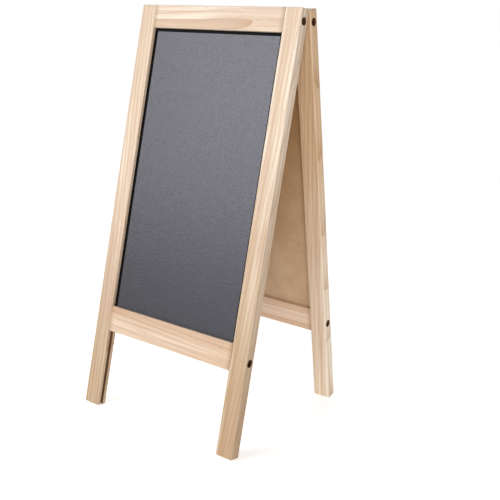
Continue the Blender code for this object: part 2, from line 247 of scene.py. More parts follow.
# Front rails darker and rear rails lighter lower down, as painted shade and light
RAIL_PAINTED_LIGHT = {
    "front": ((-0.10, EVEN), (-0.30, (0.89, 0.84, 0.80))),
    "rear": ((-0.10, EVEN), (-0.30, (1.15, 1.12, 1.13))),
}
# Hardboard darker and warmer up high, lighter and cooler low down, as painted shade and light
HARDBOARD_PAINTED_SHADE = ((-0.10, (0.68, 0.61, 0.48)), (-0.26, (0.97, 1.05, 1.22)))

# Surfaces: the range of a noise that roughness follows, then each material's roughness across it, its
# gloss, and the strength and depth of its relief
NOISE_RANGE = (0.3, 0.7)
PINE_ROUGHNESS = (0.48, 0.66)
PINE_SPECULAR = 0.3
PINE_FIBRE_RELIEF = 0.5
PINE_RING_RELIEF = 0.3
PINE_RELIEF = (0.3, 0.15 * MM)
PAINT_COLOUR = (0.008, 0.008, 0.011)
PAINT_ROUGHNESS = (0.33, 0.45)
PAINT_IOR = 1.6
PAINT_SPECULAR = 0.74
PAINT_SPECULAR_TINT = (0.88, 0.88, 1)
PAINT_RELIEF = (1, 0.16 * MM)
# The paint along the lips, black and dull as their painted shadow
LIP_SHADOW_COLOUR = (0.006, 0.006, 0.007)
LIP_SHADOW_ROUGHNESS = (0.6, 0.8)
LIP_SHADOW_SPECULAR = 0.1
LIP_SHADOW_RELIEF = (0.4, 0.12 * MM)
HARDBOARD_COLOUR = (0.60, 0.385, 0.21)
HARDBOARD_ROUGHNESS = (0.55, 0.75)
HARDBOARD_RELIEF = (0.3, 0.1 * MM)
STEEL = dict(colour=(0.03, 0.026, 0.024), tarnish=(0.010, 0.008, 0.008), roughness=(0.37, 0.57))
BRASS = dict(colour=(0.80, 0.60, 0.29), tarnish=(0.52, 0.36, 0.16), roughness=(0.20, 0.40))
METAL_RELIEF = (0.15, 0.03 * MM)

# Studio: a white floor that fades into the backdrop, and four soft panels of light
FLOOR_RADIUS = 6
FLOOR_SEGMENTS = 96
FLOOR_COLOUR = (0.8, 0.8, 0.8)
FLOOR_ROUGHNESS = 0.9
FLOOR_SPECULAR = 0.1
FLOOR_FADE = (0.45, 1.1)
FLOOR_GLOW = 0.6
FLOOR_BOUNCE = 0.2
AMBIENT = 0.06
BACKDROP = 1.0
WHITE = (1, 1, 1)
LIGHTS = {
    "key": dict(azimuth=-30, elevation=23, distance=1.3, size=(0.95, 1.0), power=14,
                colour=(1, 0.99, 0.985)),
    "fill": dict(azimuth=45, elevation=5, distance=1.1, size=(0.9, 0.6), power=8.2,
                 colour=(1, 0.965, 0.92)),
    "side": dict(azimuth=112, elevation=8, distance=0.62, size=(0.35, 0.3), power=0.6,
                 colour=(1, 0.99, 0.99)),
    "back": dict(azimuth=205, elevation=30, distance=1.4, size=(1, 1), power=9,
                 colour=(1, 0.98, 0.96)),
}

SIDES = {"left": -1, "right": 1}
OTHER_SIDE = {"left": "right", "right": "left"}

# The rails, each with the sign along Z of its grooved side
RAILS = {"top": -1, "bottom": 1}

# Sockets of a Mix node that mixes colours
MIX_INPUTS = (0, 6, 7)
MIX_RESULT = 2


# Meshes

def new_mesh(name, build):
    """A mesh made by a function that fills a bmesh, with its faces turned outward."""
    bm = bmesh.new()
    build(bm)
    bmesh.ops.recalc_face_normals(bm, faces=bm.faces)
    mesh = bpy.data.meshes.new(name)
    bm.to_mesh(mesh)
    bm.free()
    return mesh


def new_object(name, mesh, matrix):
    obj = bpy.data.objects.new(name, mesh)
    bpy.context.scene.collection.objects.link(obj)
    obj.matrix_world = matrix
    return obj


def bridge(bm, rings):
    """Joins each ring of vertices to the next; a ring of one vertex is a tip."""
    for first, second in zip(rings, rings[1:]):
        count = max(len(first), len(second))
        for i in range(count):
            j = (i + 1) % count
            corners = (first[i % len(first)], first[j % len(first)])
            corners += (second[j % len(second)], second[i % len(second)])
            bm.faces.new(dict.fromkeys(corners))


def turned(name, profile, segments):
    """A solid turned round +X from (distance along X, radius) points; it starts and ends at radius 0."""
    def build(bm):
        rings = []
        for along, radius in profile:
            turns = [0] if radius == 0 else [2 * math.pi * i / segments for i in range(segments)]
            rings.append([bm.verts.new((along, radius * math.cos(t), radius * math.sin(t))) for t in turns])
        bridge(bm, rings)
    return new_mesh(name, build)


def prism(name, outline, start, end, axis, end_scale=1):
    """A prism along X or Z over a closed outline of points across that axis."""
    def build(bm):
        rings = []
        for along, scale in ((start, 1), (end, end_scale)):
            places = [(a * scale, b * scale) for a, b in outline]
            places = [(along, a, b) if axis == "X" else (a, b, along) for a, b in places]
            rings.append([bm.verts.new(place) for place in places])
        bridge(bm, rings)
        for ring in rings:
            bm.faces.new(ring)
    return new_mesh(name, build)


def arc(centre, radius, start, end, steps):
    turns = [start + (end - start) * i / steps for i in range(steps + 1)]
    return [(centre[0] + radius * math.cos(t), centre[1] + radius * math.sin(t)) for t in turns]


def rounded_outline(low, high, radius, steps):
    """The outline of a rectangle with round corners."""
    quarter = math.pi / 2
    corners = [(high[0], low[1]), (high[0], high[1]), (low[0], high[1]), (low[0], low[1])]
    inward = [(-1, 1), (-1, -1), (1, -1), (1, 1)]
    outline = []
    for i, (corner, way) in enumerate(zip(corners, inward)):
        centre = (corner[0] + way[0] * radius, corner[1] + way[1] * radius)
        outline += arc(centre, radius, quarter * (i - 1), quarter * i, steps)
    return outline


def finished(blank, cutters=(), operation="DIFFERENCE"):
    """Cuts the blank with the cutters, smooths it, and gives it the result as its own mesh."""
    for cutter in cutters:
        boolean = blank.modifiers.new(cutter.name, "BOOLEAN")
        boolean.operation = operation
        boolean.object = cutter
    blank.data.shade_smooth()
    blank.data.set_sharp_from_angle(angle=SMOOTH_ANGLE)
    blank.modifiers.new("normals", "WEIGHTED_NORMAL").keep_sharp = True
    depsgraph = bpy.context.evaluated_depsgraph_get()
    mesh = bpy.data.meshes.new_from_object(blank.evaluated_get(depsgraph))
    mesh.name = blank.name
    blank.modifiers.clear()
    blank.data = mesh
    return blank


def remove(objects):
    for obj in objects:
        bpy.data.objects.remove(obj)


# The frames' own axes, and sizes read from the CAD nodes

def frame_matrix(turned_round):
    """Origin on the hinge axis; the tilt is that of the feet's faces, which are square to the legs."""
    foot = next(m for m in frame["record"]["mounts"] if m["name"] == "foot_front_left")
    tilt = math.asin(-foot["axis"][1])
    turn = Matrix.Rotation(math.pi if turned_round else 0, 4, "Z")
    return Matrix.Translation(frame["joints"][0]["pos_m"]) @ turn @ Matrix.Rotation(-tilt, 4, "X")


def own_box(node, matrix):
    """Lowest and highest corner of a CAD node in its frame's own axes."""
    inverse = matrix.inverted()
    points = [inverse @ v.co for v in frame["nodes"][node].data.vertices]
    corners = [(min(p[i] for p in points), max(p[i] for p in points)) for i in range(3)]
    return Vector([low for low, _ in corners]), Vector([high for _, high in corners])


def give(piece, node, mat):
    """The piece stands for the CAD node, rides on its body and wears the material or materials."""
    piece.data.materials.clear()
    for one in mat if isinstance(mat, tuple) else (mat,):
        piece.data.materials.append(one)
    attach(piece, frame["nodes"][node]["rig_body"])
    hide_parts(node)


# Timber

def section(half, radius, radii, inset, groove):
    """Points round a member's section, half its size each way, with the groove in its +U side.

    radii varies each corner's radius and inset shrinks the section, as at an eased end.
    """
    low_v, high_v, depth = groove
    flare = min(inset, GROOVE_CHAMFER) + GROOVE_CHAMFER
    side = half[0] - inset
    mouth = [(side, low_v - flare), (side - GROOVE_CHAMFER, low_v), (half[0] - depth, low_v)]
    mouth += [(half[0] - depth, high_v), (side - GROOVE_CHAMFER, high_v), (side, high_v + flare)]
    points = []
    for corner, (u, v) in enumerate([(1, -1), (1, 1), (-1, 1), (-1, -1)]):
        left = max(radius * radii[corner] - inset, 0)
        centre = (u * (half[0] - inset - left), v * (half[1] - inset - left))
        quarter = math.pi / 2
        points += arc(centre, left, quarter * (corner - 1), quarter * corner, EASED_STEPS)
        if corner == 0:
            points += mouth
    return points


def stations(length, end_ease):
    """(place along the member, inset) of each section, with both ends eased."""
    ends = []
    for i in range(EASED_STEPS + 1):
        turn = math.pi / 2 * i / EASED_STEPS
        ends.append((end_ease * (1 - math.cos(turn)), end_ease * (1 - math.sin(turn))))
    count = round(length / STATION_SPACING)
    spacing = (length - 2 * end_ease) / count
    middle = [(end_ease + spacing * i, 0) for i in range(1, count)]
    places = ends + middle + [(length - along, inset) for along, inset in reversed(ends)]
    return [(along - length / 2, inset) for along, inset in places]


def timber(name, matrix, box, shape, seed):
    """A grooved member that fills a box.

    shape is its long axis, the sign of its grooved side, its groove and how far its ends are eased.
    """
    low, high = box
    grain, groove_side, groove, end_ease = shape
    size, middle = high - low, (high + low) / 2
    length, width = (size.z, size.x) if grain == "Z" else (size.x, size.z)
    half = (width / 2, size.y / 2)
    low_y, high_y, depth = groove
    groove = (low_y - middle.y, high_y - middle.y, depth)

    def build(bm):
        rings = []
        for along, inset in stations(length, end_ease):
            radii = [1 + EASED_VARIATION * noise.noise((along / SANDING_LENGTH, corner, seed))
                     for corner in range(4)]
            ring = []
            for u, v in section(half, EASED_RADIUS, radii, inset, groove):
                u *= groove_side
                place = (u, v, along) if grain == "Z" else (along, v, u)
                ring.append(bm.verts.new(middle + Vector(place)))
            rings.append(ring)
        bridge(bm, rings)
        bm.faces.new(rings[0])
        bm.faces.new(rings[-1])
    return new_object(name, new_mesh(name, build), matrix)


def mark_edges(mesh, box, neighbours):
    """Stores how near each point is to an eased edge, from 0 to 1.

    It is stored as wear, which lightens the edge partly as a painted highlight, or as a seam, darkened as
    painted shade where the edge meets a neighbour, given by its box.
    """
    low, high = box
    wear_and_highlight = mesh.attributes.new("wear_and_highlight", "FLOAT", "POINT")
    seam_shade = mesh.attributes.new("seam_shade", "FLOAT", "POINT")
    axes = range(3)
    for i, vertex in enumerate(mesh.vertices):
        _, second, _ = sorted(min(vertex.co[k] - low[k], high[k] - vertex.co[k]) for k in axes)
        near = max(0.0, 1 - max(second, 0) / EASED_RADIUS)
        meets = any(all(first[k] - SEAM_REACH < vertex.co[k] < last[k] + SEAM_REACH for k in axes)
                    for first, last in neighbours)
        (seam_shade if meets else wear_and_highlight).data[i].value = near


def mark_groove_shade(mesh, box, shape):
    """Stores which faces lie in the groove, which the pine paints dark as shade: 1 there and 0 elsewhere.
    """
    grain, groove_side, (low_y, high_y, depth), _ = shape
    along, across = (2, 0) if grain == "Z" else (0, 2)
    face = box[1][across] if groove_side > 0 else box[0][across]
    values = mesh.attributes.new("groove", "FLOAT", "FACE").data
    for polygon, value in zip(mesh.polygons, values):
        inside = abs(polygon.center[across] - face)
        between_sides = low_y - GROOVE_CHAMFER / 2 < polygon.center.y < high_y + GROOVE_CHAMFER / 2
        is_end = abs(polygon.normal[along]) > 0.5
        if between_sides and GROOVE_CHAMFER < inside < depth * HOLLOW_REACH and not is_end:
            value.value = 1


def mark_bore_shade(mesh, screws):
    """Stores which points lie in a counterbore, which the pine paints dark as shade: 1 there and 0
    elsewhere.
    """
    bore = mesh.attributes.new("bore", "FLOAT", "POINT")
    for vertex, value in zip(mesh.vertices, bore.data):
        for low, high in screws:
            off = Vector((0, vertex.co.y - (low.y + high.y) / 2, vertex.co.z - (low.z + high.z) / 2))
            if off.length < COUNTERBORE_RADIUS * HOLLOW_REACH:
                value.value = 1


def frame_screw_cutter(low, high, sign, leg_face):
    """The counterbore in the leg, the clearance hole and the pilot hole in the rail, as one cutter."""
    length = high.x - low.x
    top = high.x if sign > 0 else low.x
    floor = FRAME_HEAD_HEIGHT + HOLE_CLEARANCE
    hole = FRAME_SCREW_RADIUS + HOLE_CLEARANCE
    mouth = COUNTERBORE_RADIUS + COUNTERBORE_CHAMFER
    face = abs(top) - leg_face
    profile = [(face - CUT_PAST, 0), (face - CUT_PAST, mouth + CUT_PAST)]
    profile += [(face, mouth), (face + COUNTERBORE_CHAMFER, COUNTERBORE_RADIUS)]
    profile += [(floor, COUNTERBORE_RADIUS), (floor, hole)]
    profile += [(length - TIP_LENGTH, hole), (length + HOLE_CLEARANCE, 0)]
    place = Vector((top, (low.y + high.y) / 2, (low.z + high.z) / 2))
    turn = Matrix.Rotation(math.pi if sign > 0 else 0, 4, "Z")
    return turned("hole", profile, HOLE_SEGMENTS), Matrix.Translation(place) @ turn


# Screws

def screw_rows(head, length, thread_length, radius):
    """(distance, radius, thread height) down a screw, with rows close enough for the thread."""
    root = radius * THREAD_ROOT_SHARE
    start, tip = length - thread_length, length - TIP_LENGTH
    rows = [(0, 0, 0), *[(along, r, 0) for along, r in head], (start - THREAD_PITCH / 2, head[-1][1], 0)]
    spacing = THREAD_PITCH / THREAD_ROWS
    count = round((length - start) / spacing)
    for i in range(count):
        along = start + i * spacing
        left = min(1.0, (length - along) / TIP_LENGTH) if along > tip else 1.0
        rise = min(1.0, i / THREAD_ROWS)
        rows.append((along, root * left, (radius - root) * rise * min(1.0, 2 * left)))
    return [*rows, (length, 0, 0)]


def screw(name, head, length, thread_length, radius, recess_depth):
    """A wood screw that points along +X, with the top of its head at the origin and a helical thread."""
    def build(bm):
        rings = []
        for along, core, height in screw_rows(head, length, thread_length, radius):
            if core == 0:
                rings.append([bm.verts.new((along, 0, 0))])
                continue
            ring = []
            for i in range(SCREW_SEGMENTS):
                share = i / SCREW_SEGMENTS
                phase = (along / THREAD_PITCH - share) % 1
                crest = max(0.0, 1 - THREAD_FLANK * abs(phase - 0.5))
                r = core + height * crest
                turn = 2 * math.pi * share
                ring.append(bm.verts.new((along, r * math.cos(turn), r * math.sin(turn))))
            rings.append(ring)
        bridge(bm, rings)
    blank = new_object(name, new_mesh(name, build), Matrix())
    cross = cross_outline(max(r for _, r in head))
    cutter = new_object("recess", prism("recess", cross, 0, recess_depth, "X", CROSS_TAPER), Matrix())
    lid_depth = recess_depth * CROSS_LID_SHARE
    lid = new_object("lid", prism("lid", cross, -CUT_PAST, lid_depth, "X"), Matrix())
    mesh = finished(blank, [cutter, lid]).data
    remove([blank, cutter, lid])
    return mesh


def cross_outline(head_radius):
    """The outline of a cross, for a screw's recess."""
    arm, slot = head_radius * CROSS_ARM_SHARE, head_radius * CROSS_SLOT_SHARE
    outline = []
    for quarter in range(4):
        turn = math.pi / 2 * quarter
        for across, out in ((slot, slot), (slot, arm), (-slot, arm)):
            outline.append((across * math.cos(turn) - out * math.sin(turn),
                            across * math.sin(turn) + out * math.cos(turn)))
    return outline


def frame_screw(length):
    """A flat-topped cylinder head with an eased rim."""
    ease = FRAME_HEAD_EASE
    rim = arc((ease, FRAME_HEAD_RADIUS - ease), ease, math.pi, math.pi / 2, HEAD_EASE_STEPS)
    head = [*rim, (FRAME_HEAD_HEIGHT, FRAME_HEAD_RADIUS), (FRAME_HEAD_HEIGHT, FRAME_SCREW_RADIUS)]
    return screw("frame_screw", head, length, FRAME_THREAD_LENGTH, FRAME_SCREW_RADIUS, FRAME_RECESS_DEPTH)


def hinge_screw(length):
    """A countersunk head."""
    head = [(0, HINGE_HEAD_RADIUS - HINGE_HEAD_EDGE), (HINGE_HEAD_EDGE, HINGE_HEAD_RADIUS)]
    head += [(HINGE_HEAD_RADIUS - HINGE_SCREW_RADIUS, HINGE_SCREW_RADIUS)]
    return screw("hinge_screw", head, length, HINGE_THREAD_LENGTH, HINGE_SCREW_RADIUS, HINGE_RECESS_DEPTH)


# Hinges

def leaf_section(width):
    """A leaf's section across X: a flat plate that rolls round the pin as the barrel, in one piece."""
    top = LEAF_THICKNESS - BARREL_RADIUS
    meets = math.pi - math.asin(top / BARREL_RADIUS)
    barrel = arc((0, 0), BARREL_RADIUS, -math.pi / 2, meets, BARREL_STEPS)
    return [(-width, top), (-width, -BARREL_RADIUS), *barrel]


def knuckle_ends(index, length):
    """The two ends along X of one knuckle, measured from the middle of the hinge."""
    pitch = length / KNUCKLES
    start = -length / 2 + index * pitch
    left = start + (KNUCKLE_GAP / 2 if index else 0)
    right = start + pitch - (KNUCKLE_GAP / 2 if index < KNUCKLES - 1 else 0)
    return left, right


def leaf_cutters(length, own, screws, middle):
    """Notches for the other leaf's knuckles, the pin's bore and the countersunk screw holes."""
    across = 2 * (BARREL_RADIUS + KNUCKLE_GAP)
    for index in range(KNUCKLES):
        if index % 2 != own:
            left, right = knuckle_ends(index, length)
            left -= KNUCKLE_GAP if index else CUT_PAST
            right += KNUCKLE_GAP if index < KNUCKLES - 1 else CUT_PAST
            square = [(-across / 2, -across / 2), (across / 2, -across / 2)]
            square += [(across / 2, across / 2), (-across / 2, across / 2)]
            yield prism("notch", square, left, right, "X"), Matrix()
    end = length / 2 + CUT_PAST
    radius = PIN_RADIUS + HOLE_CLEARANCE
    yield turned("bore", [(-end, 0), (-end, radius), (end, radius), (end, 0)], HOLE_SEGMENTS), Matrix()
    for low, high in screws:
        rim, hole = HINGE_HEAD_RADIUS + HOLE_CLEARANCE, HINGE_SCREW_RADIUS + HOLE_CLEARANCE
        slope = HINGE_HEAD_RADIUS - HINGE_SCREW_RADIUS
        profile = [(-CUT_PAST, 0), (-CUT_PAST, rim), (0, rim)]
        profile += [(slope, hole), (CUT_PAST, hole), (CUT_PAST, 0)]
        place = Vector(((low.x + high.x) / 2 - middle, (low.y + high.y) / 2, high.z))
        down = Matrix.Translation(place) @ Matrix.Rotation(math.pi / 2, 4, "Y")
        yield turned("countersink", profile, HOLE_SEGMENTS), down


def leaf(name, low, high, own, screws, matrix):
    length, width, middle = high.x - low.x, -low.y, (low.x + high.x) / 2
    here = matrix @ Matrix.Translation((middle, 0, 0))
    blank = new_object(name, prism(name, leaf_section(width), -length / 2, length / 2, "X"), here)
    cutters = [new_object(mesh.name, mesh, here @ place)
               for mesh, place in leaf_cutters(length, own, screws, middle)]
    finished(blank, cutters)
    remove(cutters)
    corners = rounded_outline((-length / 2, -width), (length / 2, BARREL_RADIUS + CUT_PAST),
                              LEAF_CORNER_RADIUS, LEAF_CORNER_STEPS)
    keep = new_object("corners", prism("corners", corners, -CUT_PAST, CUT_PAST, "Z"), here)
    finished(blank, [keep], "INTERSECT")
    remove([keep])
    return blank


def pin(name, low, high, matrix):
    """A riveted pin with a domed head at each end."""
    half = (high.x - low.x) / 2
    neck = half - PIN_HEAD_HEIGHT
    steps = range(PIN_HEAD_STEPS + 1)
    dome = [(neck + PIN_HEAD_HEIGHT * math.sin(math.pi / 2 * i / PIN_HEAD_STEPS),
             PIN_HEAD_RADIUS * math.cos(math.pi / 2 * i / PIN_HEAD_STEPS)) for i in steps]
    right = [(neck, PIN_RADIUS), *dome[:-1], (half, 0)]
    profile = [(-along, radius) for along, radius in reversed(right)] + right
    here = matrix @ Matrix.Translation(((low.x + high.x) / 2, 0, 0))
    return finished(new_object(name, turned(name, profile, HOLE_SEGMENTS), here))


# Materials

def add_node(tree, kind, inputs=None, **settings):
    """Adds a node. inputs maps its sockets' names or numbers to values, or to other nodes' outputs."""
    node = tree.nodes.new(f"ShaderNode{kind}")
    for name, value in settings.items():
        setattr(node, name, value)
    for key, value in (inputs or {}).items():
        if isinstance(value, bpy.types.NodeSocket):
            tree.links.new(value, node.inputs[key])
        else:
            node.inputs[key].default_value = value
    return node


def maths(tree, operation, first, second=0.0, clamp=False):
    return add_node(tree, "Math", {0: first, 1: second}, operation=operation, use_clamp=clamp).outputs[0]


def mapped(tree, vector, location=(0, 0, 0), rotation=(0, 0, 0), scale=(1, 1, 1)):
    inputs = {"Vector": vector, "Location": location, "Rotation": rotation, "Scale": scale}
    return add_node(tree, "Mapping", inputs).outputs[0]


def noise_field(tree, vector, scale, detail=2.0, roughness=0.5, output="Fac"):
    inputs = {"Vector": vector, "Scale": scale, "Detail": detail, "Roughness": roughness}
    return add_node(tree, "TexNoise", inputs).outputs[output]


def between(tree, value, low, high, to_low=0.0, to_high=1.0):
    """Maps a value from one range onto another, clamped."""
    inputs = {"Value": value, "From Min": low, "From Max": high, "To Min": to_low, "To Max": to_high}
    return add_node(tree, "MapRange", inputs).outputs[0]


def mixed(tree, factor, first, second, blend="MIX"):
    """Mixes two colours, each a value or another node's output."""
    node = add_node(tree, "Mix", data_type="RGBA", blend_type=blend)
    for index, value in zip(MIX_INPUTS, (factor, first, second)):
        if isinstance(value, bpy.types.NodeSocket):
            tree.links.new(value, node.inputs[index])
        else:
            node.inputs[index].default_value = value
    return node.outputs[MIX_RESULT]


def rgba(colour):
    return (*colour, 1)


def own_place(tree):
    """The place on a piece in its frame's own axes."""
    return add_node(tree, "TexCoord").outputs["Object"]


def height_of(tree, place):
    return add_node(tree, "SeparateXYZ", {0: place}).outputs["Z"]


def layer_noise(tree, place, layer):
    stretched = mapped(tree, place, rotation=layer.get("rotation", (0, 0, 0)), scale=layer["scale"])
    return noise_field(tree, stretched, 1, layer["detail"], layer.get("roughness", 0.5))


def layer_amount(tree, field, layer):
    return between(tree, field, *layer["shows"], layer.get("least", 0), layer["most"])


def overlaid(tree, colour, field, layer):
    """The colour with a layer's own colour laid over it as much as its noise says."""
    return mixed(tree, layer_amount(tree, field, layer), colour, rgba(layer["colour"]))


def shaded_by_height(tree, colour, height, shading_tint):
    """The colour under a tint that changes evenly between two heights: painted light and shade down the
    frame.
    """
    (first, first_tint), (second, second_tint) = shading_tint
    tint = mixed(tree, between(tree, height, first, second), rgba(first_tint), rgba(second_tint))
    return mixed(tree, 1.0, colour, tint, "MULTIPLY")


def new_material(name):
    mat = bpy.data.materials.new(name)
    mat.use_nodes = True
    return mat, mat.node_tree, mat.node_tree.nodes["Principled BSDF"]


def finish_surface(tree, shader, colour, field, roughness, height, relief):
    """Links the colour, a roughness that follows a noise field, and a relief of some strength and depth."""
    tree.links.new(colour, shader.inputs["Base Color"])
    tree.links.new(between(tree, field, *NOISE_RANGE, *roughness), shader.inputs["Roughness"])
    strength, distance = relief
    inputs = {"Height": height, "Strength": strength, "Distance": distance}
    tree.links.new(add_node(tree, "Bump", inputs).outputs[0], shader.inputs["Normal"])


def vector_maths(tree, operation, inputs):
    return add_node(tree, "VectorMath", inputs, operation=operation).outputs


def seed_shift(seed):
    return [seed * step for step in SEED_STEPS]


def log_radius(tree, own, seed):
    """Distance from the pith of the log that a member was sawn from, which runs beside its long axis."""
    slow = mapped(tree, own, location=seed_shift(seed), scale=RING_WANDER_SCALE)
    wander = noise_field(tree, slow, 1, output="Color")
    centred = vector_maths(tree, "ADD", {0: wander, 1: (-0.5, -0.5, -0.5)})[0]
    shift = vector_maths(tree, "SCALE", {0: centred, "Scale": RING_WANDER})[0]
    log = vector_maths(tree, "ADD", {0: own, 1: shift})[0]
    turn = seed * PITH_TURN
    deep = 1 - PITH_DEEP_SWING + PITH_DEEP_SWING * math.sin(turn * PITH_DEEP_TURN)
    pith = (PITH_ACROSS * math.cos(turn), PITH_DEEP * deep, 0)
    tilt = (LOG_TILT * math.cos(turn * LOG_TILT_TURN), LOG_TILT * math.sin(turn * LOG_TILT_TURN), 0)
    flat = mapped(tree, mapped(tree, log, location=pith, rotation=tilt), scale=(1, 1, 0))
    return vector_maths(tree, "LENGTH", {0: flat})["Value"]


def late_wood(tree, own, place, seed):
    """How dark the rings are, from 0 to 1: each fades in towards its outer edge."""
    phase = maths(tree, "FRACT", maths(tree, "DIVIDE", log_radius(tree, own, seed), RING_SPACING))
    depth = layer_amount(tree, layer_noise(tree, place, PINE_RINGS), PINE_RINGS)
    return maths(tree, "MULTIPLY", maths(tree, "POWER", phase, RING_SHARPNESS), depth)


def pine(name, grain, seed, shading_tint):
    """Pale pine, its rings round a pith beside the member and its fibres along the grain."""
    mat, tree, shader = new_material(name)
    own = own_place(tree)
    height = height_of(tree, own)
    own = mapped(tree, own, rotation=(0, 0 if grain == "Z" else math.pi / 2, 0))
    place = mapped(tree, own, location=seed_shift(seed))
    late = late_wood(tree, own, place, seed)
    fibres = layer_noise(tree, place, PINE_FIBRES)

    colour = rgba(PINE_PALE)
    for layer in (PINE_BANDS, PINE_BLUSH):
        colour = overlaid(tree, colour, layer_noise(tree, place, layer), layer)
    colour = mixed(tree, late, colour, rgba(PINE_LATE))
    colour = overlaid(tree, colour, layer_noise(tree, place, PINE_STREAKS), PINE_STREAKS)
    colour = overlaid(tree, colour, fibres, PINE_FIBRES)
    colour = overlaid(tree, colour, layer_noise(tree, place, PINE_PORES), PINE_PORES)
    # Marks on the mesh: lighter worn edges with a painted highlight, and groove, counterbores and seams
    # darkened as painted shade
    for attribute, most, marked in PINE_MARKS:
        mark = add_node(tree, "Attribute", attribute_name=attribute).outputs["Fac"]
        colour = mixed(tree, maths(tree, "MULTIPLY", mark, most), colour, rgba(marked))

    shader.inputs["Specular IOR Level"].default_value = PINE_SPECULAR
    relief = maths(tree, "SUBTRACT", maths(tree, "MULTIPLY", fibres, PINE_FIBRE_RELIEF),
                   maths(tree, "MULTIPLY", late, PINE_RING_RELIEF))
    # Painted light and shade: the colour lightens or darkens down the frame
    colour = shaded_by_height(tree, colour, height, shading_tint)
    finish_surface(tree, shader, colour, fibres, PINE_ROUGHNESS, relief, PINE_RELIEF)
    return mat


def chalkboard_paint():
    """Satin grey-black paint with a fine tooth, and faint clouds of chalk left by wiping."""
    mat, tree, shader = new_material("chalkboard_paint")
    own = own_place(tree)
    tooth = layer_noise(tree, own, PAINT_TOOTH)
    colour = overlaid(tree, rgba(PAINT_COLOUR), layer_noise(tree, own, CHALK_CLOUDS), CHALK_CLOUDS)
    colour = overlaid(tree, colour, tooth, PAINT_TOOTH)
    shader.inputs["IOR"].default_value = PAINT_IOR
    shader.inputs["Specular IOR Level"].default_value = PAINT_SPECULAR
    shader.inputs["Specular Tint"].default_value = rgba(PAINT_SPECULAR_TINT)
    finish_surface(tree, shader, colour, tooth, PAINT_ROUGHNESS, tooth, PAINT_RELIEF)
    return mat


def lip_shadow_paint():
    """The same paint close to the lips, made black and dull as the lips' painted shadow."""
    mat, tree, shader = new_material("lip_shadow_paint")
    tooth = layer_noise(tree, own_place(tree), LIP_SHADOW_TOOTH)
    colour = overlaid(tree, rgba(LIP_SHADOW_COLOUR), tooth, LIP_SHADOW_TOOTH)
    shader.inputs["Specular IOR Level"].default_value = LIP_SHADOW_SPECULAR
    finish_surface(tree, shader, colour, tooth, LIP_SHADOW_ROUGHNESS, tooth, LIP_SHADOW_RELIEF)
    return mat


def hardboard():
    """Bare brown hardboard: pressed fibre with darker flecks and paler strands, darker towards the top as
    painted shade.
    """
    mat, tree, shader = new_material("hardboard")
    own = own_place(tree)
    flecks = layer_noise(tree, own, BOARD_FLECKS)
    colour = overlaid(tree, rgba(HARDBOARD_COLOUR), layer_noise(tree, own, BOARD_CLOUDS), BOARD_CLOUDS)
    colour = overlaid(tree, colour, flecks, BOARD_FLECKS)
    colour = overlaid(tree, colour, layer_noise(tree, own, BOARD_STRANDS), BOARD_STRANDS)
    colour = shaded_by_height(tree, colour, height_of(tree, own), HARDBOARD_PAINTED_SHADE)
    finish_surface(tree, shader, colour, flecks, HARDBOARD_ROUGHNESS, flecks, HARDBOARD_RELIEF)
    return mat


def metal(name, colour, tarnish, roughness):
    """A plated metal: fine drawn lines, cloudy tarnish and uneven gloss."""
    mat, tree, shader = new_material(name)
    own = own_place(tree)
    lines = layer_noise(tree, own, DRAWN_LINES)
    clouds = layer_amount(tree, layer_noise(tree, own, TARNISH), TARNISH)
    colour = mixed(tree, clouds, rgba(colour), rgba(tarnish))
    shader.inputs["Metallic"].default_value = 1.0
    finish_surface(tree, shader, colour, lines, roughness, lines, METAL_RELIEF)
    return mat


# The easel

def sides_of(turned_round):
    """(side in the frame's own axes, the same side as named in the world, sign along own X)."""
    for side, sign in SIDES.items():
        yield (OTHER_SIDE[side] if turned_round else side), sign


def pilot_cutter(low, high):
    """The pilot hole in the top rail under a hinge screw."""
    hole = HINGE_SCREW_RADIUS + HOLE_CLEARANCE
    length = high.z - low.z
    profile = [(0, 0), (0, hole), (length - TIP_LENGTH, hole), (length + HOLE_CLEARANCE, 0)]
    place = Vector(((low.x + high.x) / 2, (low.y + high.y) / 2, high.z))
    down = Matrix.Translation(place) @ Matrix.Rotation(math.pi / 2, 4, "Y")
    return turned("pilot", profile, HOLE_SEGMENTS), down


def groove_of(frame_name, matrix):
    """The groove that holds the board: its two sides across Y, and its depth in legs and rails."""
    board_low, board_high = own_box(f"{frame_name}_board", matrix)
    rail_end = own_box(f"{frame_name}_top_rail", matrix)[1].x
    depth = board_high.x - rail_end + GROOVE_CLEARANCE
    return board_low.y - GROOVE_CLEARANCE, board_high.y + GROOVE_CLEARANCE, depth


def screws_and_holes(frame_name, matrix, turned_round):
    """The box of each frame screw, and the cutter for its hole, by rail and side."""
    own_left, _ = next(sides_of(turned_round))
    leg_face = -own_box(f"{frame_name}_{own_left}_leg", matrix)[0].x
    screws, holes = {}, {}
    for rail in RAILS:
        for side, sign in sides_of(turned_round):
            box = own_box(f"{frame_name}_{rail}_{side}_screw", matrix)
            screws[rail, side] = box
            holes[rail, side] = frame_screw_cutter(*box, sign, leg_face)
    return screws, holes


def build_member(node, box, matrix, shape, cutters, screws, neighbours, seed, shading_tint):
    """One leg or rail: its grooved blank, cut, marked for its material and put on its body."""
    blank = timber(f"{node}_pine", matrix, box, shape, seed)
    cutters = [new_object(mesh.name, mesh, matrix @ place) for mesh, place in cutters]
    finished(blank, cutters)
    remove(cutters)
    mark_edges(blank.data, box, neighbours)
    mark_groove_shade(blank.data, box, shape)
    mark_bore_shade(blank.data, screws)
    give(blank, node, pine(f"{node}_pine", shape[0], seed, shading_tint))


